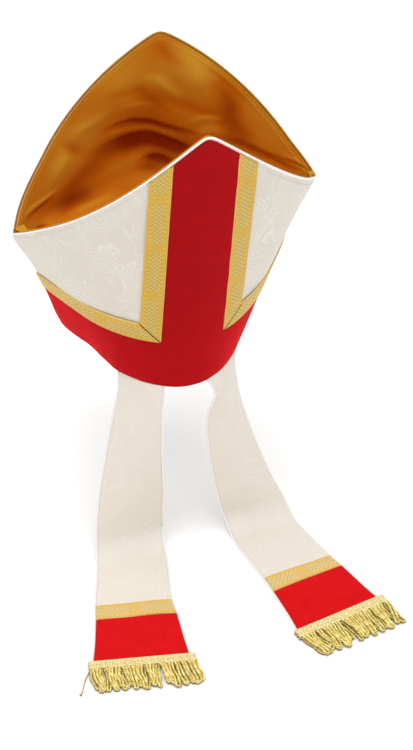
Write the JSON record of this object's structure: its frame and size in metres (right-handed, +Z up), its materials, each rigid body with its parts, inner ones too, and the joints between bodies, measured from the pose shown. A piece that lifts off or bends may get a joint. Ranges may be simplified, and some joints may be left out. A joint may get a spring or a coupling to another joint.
{
  "type": "bishop mitre",
  "caption": "Bishop's mitre: two pointed damask horns with red bands and gold braid, satin gusset between them, and fringed lappets hanging from the back rim.",
  "frame": {"origin": "centre of the rim's opening, where the mitre is held by the head that wears it", "axes": "+Z up as worn, +Y towards the wearer's front, +X towards the wearer's right; the mitre itself leans back by 12 degrees about X"},
  "size_m": [0.329, 0.4261, 0.5229],
  "materials": {
    "ivory_damask": "figured satin damask, ivory",
    "red_crepe": "matt red cloth",
    "gold_braid": "woven metallic galloon",
    "gold_satin": "satin lining, old gold",
    "white_piping": "white cotton cording",
    "gold_fringe": "twisted gold cord"
  },
  "bodies": {
    "root": {"back_panel": "ivory_damask", "front_panel": "ivory_damask", "back_orphrey": "red_crepe", "front_orphrey": "red_crepe", "back_braid_left": "gold_braid", "back_braid_right": "gold_braid", "front_braid_left": "gold_braid", "front_braid_right": "gold_braid", "back_piping": "white_piping", "front_piping": "white_piping", "back_lining_edge": "gold_satin", "front_lining_edge": "gold_satin", "gusset_lining": "gold_satin", "side_tack_left": "gold_satin", "side_tack_right": "gold_satin", "lappet_left": "ivory_damask", "lappet_left_braid": "gold_braid", "lappet_left_end": "red_crepe", "lappet_left_edging_inner": "white_piping", "lappet_left_edging_outer": "white_piping", "lappet_left_fringe": "gold_fringe", "lappet_right": "ivory_damask", "lappet_right_braid": "gold_braid", "lappet_right_end": "red_crepe", "lappet_right_edging_inner": "white_piping", "lappet_right_edging_outer": "white_piping", "lappet_right_fringe": "gold_fringe"}
  },
  "joints": []
}
